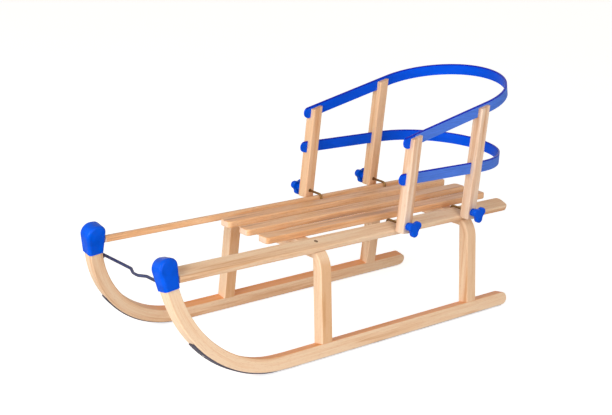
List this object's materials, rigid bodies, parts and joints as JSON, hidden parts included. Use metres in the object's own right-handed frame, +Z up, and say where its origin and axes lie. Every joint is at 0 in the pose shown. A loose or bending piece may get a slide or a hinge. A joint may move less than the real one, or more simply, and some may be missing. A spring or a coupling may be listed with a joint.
{
  "type": "wooden sleigh",
  "caption": "Bent-wood child's sleigh with steel-shod turned-up runners, hoop trestles, slatted seat, tow rod and a clamp-on backrest.",
  "frame": {"origin": "on the ground under the middle of the sleigh's whole length and width", "axes": "+X forward to the turned-up horns, +Y to the sleigh's left, +Z up"},
  "size_m": [0.9486, 0.3698, 0.4912],
  "materials": {
    "beech": "clear varnished",
    "strip_steel": "cold rolled",
    "rod_steel": "dark semi-gloss",
    "yellow_zinc": "yellow zinc plated",
    "cap_plastic": "moulded gloss",
    "band_plastic": "extruded gloss",
    "knob_plastic": "moulded gloss"
  },
  "bodies": {
    "sled": {"runner_left": "beech", "runner_right": "beech", "rail_left": "beech", "rail_right": "beech", "seat_slat_1": "beech", "seat_slat_2": "beech", "seat_slat_3": "beech", "trestle_front": "beech", "trestle_rear": "beech", "runner_steel_left": "strip_steel", "runner_steel_right": "strip_steel", "tip_cap_left": "cap_plastic", "tip_cap_right": "cap_plastic", "tow_rod": "rod_steel"},
    "backrest": {"backrest_post_front_left": "beech", "backrest_post_front_right": "beech", "backrest_post_rear_left": "beech", "backrest_post_rear_right": "beech", "backrest_band_upper": "band_plastic", "backrest_band_lower": "band_plastic", "star_knob_front_left": "knob_plastic", "hook_bolt_front_left": "yellow_zinc", "star_knob_front_right": "knob_plastic", "hook_bolt_front_right": "yellow_zinc", "star_knob_rear_left": "knob_plastic", "hook_bolt_rear_left": "yellow_zinc", "star_knob_rear_right": "knob_plastic", "hook_bolt_rear_right": "yellow_zinc"}
  },
  "joints": [
    {"name": "backrest_slide", "type": "slide", "parent": "sled", "child": "backrest", "axis": [1, 0, 0.0075], "range_m": [0, 0.17]}
  ]
}
